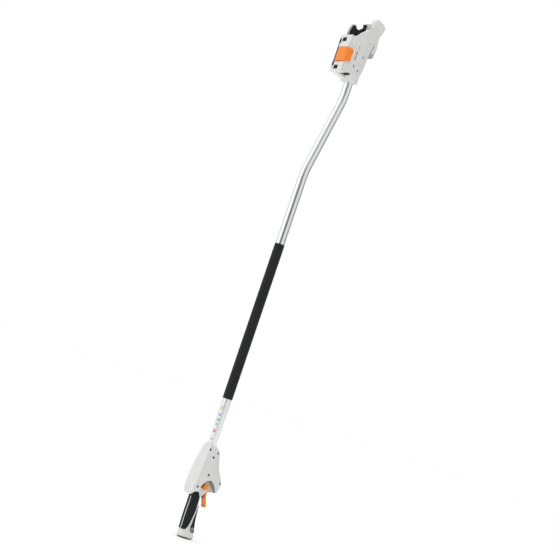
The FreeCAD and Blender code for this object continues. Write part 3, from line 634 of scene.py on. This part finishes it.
def paint_scoop_shade_and_bounce_light(shell):
    """Paint shade on the scoop's walls and an orange bounce light on its floor, as materials of their own.
    """
    # material 1 is painted shade for the walls, material 2 a painted orange bounce light for the floor
    for finish in ("recess", "recess_floor"):
        shell.data.materials.append(MATERIALS[finish])
    for face in shell.data.polygons:
        x, y, z = face.center / MM
        inside = -7 < x < 54 and 118 < z < 160 and abs(y) > SCOOP_FLOOR - 0.2
        if inside and abs(y) < SCOOP_FLOOR + 0.2 and abs(face.normal.y) > 0.9:
            face.material_index = 2
        elif inside and abs(face.normal.y) < 0.6 and face.normal.z > -0.9 and min_gap(x, z, SCOOP) < 4:
            face.material_index = 1


def min_gap(x, z, corners):
    """The distance from a point to an outline."""
    points = rounded(corners)
    here = Vector((x, z))
    gaps = []
    for start, stop in zip(points, points[1:] + points[:1]):
        share = min(1.0, max(0.0, intersect_point_line(here, start, stop)[1]))
        gaps.append((here - start.lerp(stop, share)).length)
    return min(gaps)


def make_housing():
    stations = [index / HOUSING_STEPS for index in range(HOUSING_STEPS + 1)]
    axis = Vector((0, -1, 0))
    heads = []
    for side, node in ((-1, "handle_shell_right"), (1, "handle_shell_left")):
        shell = loft(f"housing_{node[13:]}", [housing_section(t) for t in stations], True)
        depths = [surface_depth(shell, x, z) for x, z in SCREWS]
        half(shell, side)
        boolean(shell, scoop_cutter(side))
        boolean(shell, prism("slot", TRIGGER_SLOT, -TRIGGER_SLOT_HALF, TRIGGER_SLOT_HALF))
        if side < 0:
            for (x, z), depth in zip(SCREWS, depths):
                seat = Vector((x, SCREW_DEPTH + 2.3 - depth, z))
                boolean(shell, lathe("well", SCREW_WELL, seat, axis, 24))
                heads.append(lathe("screw", SCREW_HEAD, seat, axis, 24))
            low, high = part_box("lock_button")
            middle, bore = (low + high) / 2 / MM, (high.x - low.x) / 2 / MM + KNOB_GAP
            base = Vector((middle.x, 0.5, middle.z))
            boolean(shell, lathe("lock_bore", [(bore, 0), (bore, 30)], base, axis))
        place(shell, "pole", "shell", node)
        paint_scoop_shade_and_bounce_light(shell)
        bevel(shell, 0.0007, 2, 38)
    for name, node, group in (
        ("tube_screw_head", "tube_set_screw", [heads.pop(TUBE_SCREW)]),
        ("housing_screw_heads", "housing_screws", heads),
    ):
        place(join(name, group), "pole", "dark_steel", node)


# ----------------------------------------------------------------------- grip

# height, back x, front x, half width
GRIP_STATIONS = (
    (0.0, -9.0, 33.5, 13.8), (6.0, -10.4, 35.4, 15.2), (12.0, -10.6, 33.4, 16.0),
    (20.0, -9.2, 29.4, 16.3), (28.0, -8.8, 26.4, 16.3), (50.0, -9.4, 20.4, 16.2),
    (70.0, -9.6, 17.8, 16.0), (90.0, -9.4, 15.2, 15.7), (104.0, -9.6, 12.6, 15.2),
    (114.0, -10.4, 11.5, 14.8), (124.0, -11.0, 13.5, 14.4), (134.0, -11.0, 15.0, 14.0),
)
# the wavy edge between the light grip and the dark foot
FOOT_EDGE = [
    (-20, 5.2), (-4, 4.8, 6), (6, 4.6, 12), (17, 3.0, 9), (27, 5.4, 9), (31, 8.0, 4), (42, 8.6),
]
# the foot stands on its middle and arches up a little at its back and front
FOOT_ARCH = [
    (-20, 2.6), (-4, 2.2, 6), (6, 2.0, 8), (14, 0, 6), (22, 0, 6), (28, 2.8, 6), (32, 5.2, 4), (42, 5.6),
]
SPINE_TOP = 107


def grip_section(z, grow=0.0, count=48):
    """A rounded oblong across the grip, grown outward by a few tenths for the pads."""
    back, front, wide = smooth_steps(z, GRIP_STATIONS)
    centre, reach = (back + front) / 2, (front - back) / 2 + grow
    ring = []
    for index in range(count):
        angle = 2 * math.pi * index / count
        c, s = math.cos(angle), math.sin(angle)
        power = 0.72
        x = centre + reach * math.copysign(abs(c) ** power, c)
        y = (wide + grow) * math.copysign(abs(s) ** power, s)
        ring.append(Vector((x, y, z)))
    return ring


def grip_solid(name, bottom, top, grow):
    steps = max(8, int((top - bottom) / 2.5))
    heights = [bottom + (top - bottom) * index / steps for index in range(steps + 1)]
    return loft(name, [grip_section(z, grow) for z in heights])


MAIN_PAD = [
    (-30, 19), (-30, 124), (-14, 126.5, 3), (-5, 125, 4), (5, 109, 7), (4.8, 92),
    (5.6, 76, 8), (2, 53), (-1.6, 33, 8), (-6, 23.5, 5), (-16, 20.5, 4),
]
FRONT_PAD = [
    (18, 92), (14.6, 87), (12, 75), (8.8, 57), (6.8, 33, 6), (8.6, 22.5, 4), (17, 18.8, 5),
    (26, 21, 3), (42, 24), (42, 92),
]


# the light web that spreads from the top of the grip to the mouth of the scoop
CHEEK_INSIDE, CHEEK_OUTSIDE = 8.2, 14.4
NECK = [(2, 108), (9.6, 110.5, 3), (21.5, 126.5, 3), (22, 133), (2, 133)]


def make_grip():
    for side, node in ((-1, "grip_pad_right"), (1, "grip_pad_left")):
        pad = grip_solid(f"side_{node}", 15, 129, 1.5)
        low, high = (-30, -1.5) if side < 0 else (1.5, 30)
        boolean(pad, prism("pad_edge", MAIN_PAD, low, high), "INTERSECT")
        bevel(pad, 0.0008, 3, 35)
        place(pad, "pole", "soft_black", node)
    front = grip_solid("front_pad", 15, 96, 1.3)
    boolean(front, prism("front_edge", FRONT_PAD, -30, 30), "INTERSECT")
    bevel(front, 0.0008, 3, 35)
    place(front, "pole", "soft_black", "grip_front_pad")
    core = grip_solid("grip_core", 1.0, 134, 0.0)
    above = FOOT_EDGE + [(42, 140), (-20, 140)]
    boolean(core, prism("foot_line", above, -30, 30), "INTERSECT")
    bevel(core, 0.0006, 2, 40)
    place(core, "pole", "shell")
    for name, low, high, grow, half_width, slot in (
        ("grip_spine", 20, SPINE_TOP - 0.1, 1.7, 1.15, "shell"),
        ("pad_bridge", SPINE_TOP, 126, 1.5, 1.4, "soft_black"),
    ):
        strip = grip_solid(name, low, high, grow)
        edge = [(-30, low), (-30, high), (-4, high), (-4, low)]
        boolean(strip, prism("strip_edge", edge, -half_width, half_width), "INTERSECT")
        bevel(strip, 0.0004, 2, 40)
        place(strip, "pole", slot)
    for side in (-1, 1):
        low, high = sorted((side * CHEEK_INSIDE, side * CHEEK_OUTSIDE))
        cheek = prism(f"neck_cheek_{'right' if side < 0 else 'left'}", NECK, low, high)
        bevel(cheek, 0.0018, 4, 30)
        place(cheek, "pole", "shell")
    foot = grip_solid("butt_foot", 0.0, 10.0, -1.3)
    below = FOOT_ARCH + [(x, z - 0.1, *radius) for x, z, *radius in reversed(FOOT_EDGE)]
    boolean(foot, prism("foot_shape", below, -30, 30), "INTERSECT")
    bevel(foot, 0.0006, 2, 40)
    place(foot, "pole", "dark_plastic", "butt_cap")


BLADE_HALF = 7.0
GAP_SHADE_HALF = 5.0
TRIGGER_BLADE = [
    (24, 133), (32, 133), (31.6, 123), (33, 113, 14), (38, 101.5, 14), (43.2, 88.6, 1.6),
    (38, 86), (35.6, 86.6, 1.4), (34.2, 95, 8), (29.4, 104.5, 12), (25.2, 113, 8), (23, 124),
]
# painted shade: the outline of a dark block that fills the trigger slot behind the blade, where shade falls
# in the gap
TRIGGER_GAP_SHADE = [(19, 134), (28, 134), (28, 122), (27, 110, 5), (23.4, 108, 3), (20.5, 118, 10)]


# The CAD's spring and seat stand out in the far scoop, and its pin is as long as a shallower
# scoop allows. These three are drawn behind the deeper scoop's floor, so they are not where the
# CAD has them.
CUP_SINK = 2.4
CUP_PROFILE = [(0.05, 0), (5.6, 0), (6.0, 0.4), (6.0, 1.6), (0.05, 1.6)]
SPRING_START = KNOB_START + 4.6
SPRING_STOP = SCOOP_FLOOR - 2.8
SPRING_RADIUS = 3.4
SPRING_WIRE = 0.4
SPRING_TURNS = 6
WIRE_SIDES = 8
PIN_SINK = 0.3


def helix(name, x, z):
    """The button's compression spring, as a wire swept round Y."""
    steps = 24
    count = steps * SPRING_TURNS
    rings = []
    for step in range(count + 1):
        angle = 2 * math.pi * step / steps
        out = Vector((math.cos(angle), 0, math.sin(angle)))
        reach = SPRING_START + (SPRING_STOP - SPRING_START) * step / count
        centre = Vector((x, reach, z)) + out * SPRING_RADIUS
        ring = []
        for side in range(WIRE_SIDES):
            turn = 2 * math.pi * side / WIRE_SIDES
            ring.append(centre + (out * math.cos(turn) + Vector((0, 1, 0)) * math.sin(turn)) * SPRING_WIRE)
        rings.append(ring)
    return loft(name, rings)


def make_controls():
    axis = Vector((0, -1, 0))
    low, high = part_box("lock_button")
    middle = (low + high) / 2 / MM
    radius, reach = (high.x - low.x) / 2 / MM, KNOB_START - low.y / MM
    profile = [
        (radius, 0), (radius, reach - 1.6), (radius - 0.2, reach - 0.8), (radius - 0.9, reach - 0.15),
        (radius - 2.3, reach), (radius - 2.7, reach - 0.5), (0.5, reach - 1.0), (0.05, reach - 1.0),
    ]
    button = lathe("lock_knob", profile, Vector((middle.x, KNOB_START, middle.z)), axis)
    place(button, "lock_body", "orange", "lock_button")
    floor = Vector((middle.x, SCOOP_FLOOR - CUP_SINK, middle.z))
    seat = lathe("spring_cup", CUP_PROFILE, floor, -axis)
    place(seat, "pole", "dark_plastic", "lock_spring_seat")
    place(helix("lock_coil", middle.x, middle.z), "pole", "steel", "lock_spring")
    low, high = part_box("trigger_pivot_pin")
    middle, radius, reach = (low + high) / 2 / MM, (high.x - low.x) / 2 / MM, SCOOP_FLOOR - PIN_SINK
    shaft = [
        (0.05, 0), (radius - 0.5, 0), (radius, 0.5), (radius, 2 * reach - 0.5), (radius - 0.5, 2 * reach),
        (0.05, 2 * reach),
    ]
    pin = lathe("pivot_pin", shaft, Vector((middle.x, reach, middle.z)), axis)
    place(pin, "pole", "steel", "trigger_pivot_pin")
    blade = prism("trigger_blade", TRIGGER_BLADE, -BLADE_HALF, BLADE_HALF)
    bevel(blade, 0.0016, 4, 30)
    place(blade, "trigger_body", "orange", "trigger")
    # a dark block in the trigger slot, painted shade of the gap behind the blade
    gap_shade = prism("trigger_gap_shade", TRIGGER_GAP_SHADE, -GAP_SHADE_HALF, GAP_SHADE_HALF)
    bevel(gap_shade, 0.001, 3, 30)
    place(gap_shade, "trigger_body", "dark_plastic")


# ----------------------------------------------------------------------- head

HOOK = [
    (61.5, 1396), (87, 1396, 4), (84, 1384, 20), (79.5, 1367, 8), (82, 1358, 5),
    (92, 1357, 6), (98, 1384, 30), (95.5, 1407, 12), (93, 1422, 6), (99.5, 1434, 10), (104.5, 1453, 9),
    (91, 1463.4, 8), (83, 1462.6, 4), (75, 1466.4, 7), (63.5, 1461, 6), (61.5, 1446),
]
HOOK_END_HEIGHT = 1371
HOOK_HALF = 8.8


def make_hook():
    for name, node, low, high in (
        ("hook_arm", "branch_hook", HOOK_END_HEIGHT, 1480), ("hook_end", "hook_tip", 1340, HOOK_END_HEIGHT)
    ):
        arm = prism(name, HOOK, -HOOK_HALF, HOOK_HALF)
        bevel(arm, 0.003, 5, 28)
        apply_modifiers(arm)
        boolean(arm, prism("part", [(50, low), (120, low), (120, high), (50, high)], -20, 20), "INTERSECT")
        for polygon in arm.data.polygons:
            polygon.use_smooth = True
        place(arm, "pole", "shell", node, finish="shell" if node == "branch_hook" else "tip_grey")


# how far the lower edge of the strap's near flap climbs towards its end
FLAP_RISE = 8.0


def make_strap():
    """The clamp band: hooked behind its rod, creased across the back, with a long round corner."""
    low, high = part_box("clamp_strap")
    bottom, top = low.z / MM, high.z / MM
    back, side, front = low.x / MM, low.y / MM, high.x / MM
    rod = sum(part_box("clamp_hinge_rod"), Vector()) / 2 / MM
    near_rod = rod.y - 2.4
    outside = [
        (rod.x + 3.6, rod.y + 2.6, 0.5), (rod.x + 2.2, rod.y + 2.6, 0.5), (rod.x + 2.2, near_rod),
        (rod.x - 1.0, near_rod, 0.4), (back, near_rod - 3.6, 4), (back, 4.6, 8), (back + 0.8, 1.6),
        (back + 0.8, 0.4), (back, -2.6, 8), (back, side, 10.5), (front + 1.2, side, 1.2),
    ]
    inside = [
        (front + 1.2, side + 3, 1.2), (back + 3, side + 3, 7.0), (back + 3, near_rod - 3.6, 2),
        (rod.x + 3.6, near_rod, 1),
    ]
    band = extrude_up("strap_band", outside + inside, bottom, top)
    corner = [
        (back + 5, bottom - 8), (back + 5, bottom, 4), (front + 2, bottom + FLAP_RISE),
        (front + 2, bottom - 8),
    ]
    boolean(band, prism("flap_edge", corner, side - 1, side + 3.4))
    bevel(band, 0.0008, 3, 40)
    place(band, "strap_body", "orange", "clamp_strap")


SADDLE = [
    (9.5, 1389), (9.5, 1409, 9), (13.5, 1421.5, 3), (19.4, 1424.5, 1), (22.2, 1417.4, 5),
    (34.5, 1416.5, 8), (48.8, 1431, 6), (45.4, 1438.5, 1), (55.5, 1441.5, 1), (56, 1424), (38, 1400),
    (38, 1389),
]


# A patch over the place where the CAD's saddle pocket breaks through the narrowing far wall. The
# CAD has no such piece.
BACKING = [(46, 1424), (51.5, 1429.5, 6), (48.5, 1438.5), (57, 1442), (57, 1424), (46, 1410.5)]
WALL_BEND = (38.0, 22.4)
WALL_NORMAL = Vector((0.257, 0.966, 0.0))


def make_saddle():
    """The rubber that lines the far wall's notch, in one moulding, and the patch behind it."""
    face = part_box("saddle_liner")[1].y / MM
    rubber = prism("saddle_rubber", SADDLE, face - 5.9, face - 0.1)
    trim(rubber, (WALL_BEND[0], WALL_BEND[1] - 1.2, 0), WALL_NORMAL)
    bevel(rubber, 0.0009, 3, 35)
    place(rubber, "pole", "soft_black", "saddle_liner")
    backing = prism("saddle_backing", BACKING, face - 3.6, face + 4)
    trim(backing, (*WALL_BEND, 0), WALL_NORMAL)
    place(backing, "pole", "shell")


def make_apron():
    """The plate that closes the back between the strap and the upper bracket."""
    strap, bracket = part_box("clamp_strap"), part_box("upper_bracket")
    back, near = bracket[0].x / MM + 0.2, bracket[0].y / MM + 0.1
    front, far = -9.1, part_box("clamp_hinge_rod")[0].y / MM - 2.3
    outline = [(back, near, 1.5), (front, near), (front, far), (back, far)]
    apron = extrude_up("upper_apron", outline, strap[1].z / MM + 0.6, bracket[0].z / MM + 0.1)
    bevel(apron, 0.0005, 2, 40)
    place(apron, "pole", "shell")


def make_bumpers():
    for node in ("upper_bumper", "lower_bumper"):
        low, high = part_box(node)
        x, low_y, low_z = low.x / MM, low.y / MM, low.z / MM
        high_y, high_z = high.y / MM, high.z / MM
        outline = [(low_y + 0.8, low_z + 0.3, 2.4), (high_y - 0.8, low_z + 0.3, 2.4),
                   (high_y - 0.8, high_z - 0.3, 2.4), (low_y + 0.8, high_z - 0.3, 2.4)]
        flat = rounded(outline)
        rings = []
        for depth, inset in ((high.x / MM, 0.0), (x + 0.9, 0.0), (x + 0.3, 0.3), (x, 1.0)):
            middle = Vector(((low_y + high_y) / 2, (low_z + high_z) / 2))
            rings.append([Vector((depth, *(p + (middle - p).normalized() * inset))) for p in flat])
        piece = loft(f"{node[:5]}_buffer", rings)
        place(piece, "pole", "soft_black", node)


def make_sleeve():
    """The foam sleeve: a tube with rolled ends and shallow rings where it was cut and stretched."""
    low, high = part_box("grip_sleeve")
    length = (high.z - low.z) / MM
    outer, inner = (high.x - low.x) / 2 / MM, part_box("lower_tube_plug")[1].x / MM + 0.05
    profile = [(inner, 0.3), (inner + 0.3, 0.0), (outer - 0.5, 0.0), (outer - 0.1, 0.4)]
    rings = 60
    for index in range(1, rings):
        swell = 0.5 + 0.5 * math.sin(index * 1.7) * math.cos(index * 0.61)
        profile.append((outer - 0.12 * swell, length * index / rings))
    profile += [(outer - 0.1, length - 0.4), (outer - 0.5, length)]
    profile += [(inner + 0.3, length), (inner, length - 0.3)]
    sleeve = lathe("foam_sleeve", profile, Vector((0, 0, low.z / MM)), Vector((0, 0, 1)), 64, True)
    place(sleeve, "pole", "soft_black", "grip_sleeve", finish="sleeve")


# how far round the tube the films' middle line lies, in degrees, and their thickness
MARK_TURN = 202
FILM = 0.15


def mark(name, height, outline):
    """A thin printed film curved round the tube, from an outline in millimetres about its middle."""
    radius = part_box("lower_tube_plug")[1].x / MM + 0.03
    rings = []
    for reach in (radius, radius + FILM):
        rings.append([])
        for point in rounded(outline):
            angle = math.radians(MARK_TURN) + point.x / reach
            rings[-1].append(Vector((reach * math.cos(angle), reach * math.sin(angle), height + point.y)))
    return loft(name, rings, smooth=False)


def oblong(wide, high, radius):
    return [(-wide, -high, radius), (wide, -high, radius), (wide, high, radius), (-wide, high, radius)]


MARKS = (
    ("mark_top", 342, oblong(2.6, 6, 1.2), "mark_yellow"),
    ("mark_ring_high", 324, oblong(2.8, 3.6, 2.6), "mark_blue"),
    ("mark_ring_low", 311, oblong(2.8, 3.6, 2.6), "mark_blue"),
    ("mark_green_high", 299, oblong(2.4, 3.0, 1.0), "mark_green"),
    ("mark_red", 281, oblong(2.6, 4.4, 1.6), "mark_red"),
    ("mark_green_low", 260, oblong(2.4, 2.8, 1.0), "mark_green"),
)


def make_marks():
    """Plain coloured film patches up the tube, in place of a printed label."""
    for name, height, outline, finish in MARKS:
        nodes = ["safety_label"] if name == "mark_top" else []
        place(mark(name, height, outline), "pole", "label", *nodes, finish=finish)


def make_side_slot_shade():
    """A dark sheet on the near wall as the painted shade of a narrow slot, and a short mark beside it."""
    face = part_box("head_shell_right")[0].y / MM
    for name, corners in (
        # the slot is painted shade laid on the wall's face, not cut into it
        ("painted_slot_shade", [(20.8, 1348.6, 0.9), (23.4, 1348.6, 0.9), (23.2, 1323.4, 0.9), (20.6, 1323.4, 0.9)]),
        ("side_dash", [(23.4, 1313, 0.7), (25.9, 1313, 0.7), (27.3, 1303.6, 0.7), (24.8, 1303.6, 0.7)]),
        ("side_nick", [(23.4, 1363), (24.9, 1363), (24.2, 1355.6), (22.9, 1355.6)]),
    ):
        piece = prism(name, corners, face - 0.05, face + 0.4)
        place(piece, "pole", "dark_plastic")


# ------------------------------------------------------------------- finishing

make_camera()
make_studio()
paint_cad_nodes()
make_housing()
make_grip()
make_controls()
make_hook()
make_strap()
make_saddle()
make_apron()
make_bumpers()
make_sleeve()
make_marks()
make_side_slot_shade()
for name in ("head_shell_right", "head_shell_left", "upper_bracket", "lower_bracket", "strap_keeper"):
    bevel(NODES[name], 0.0006, 2, 40)
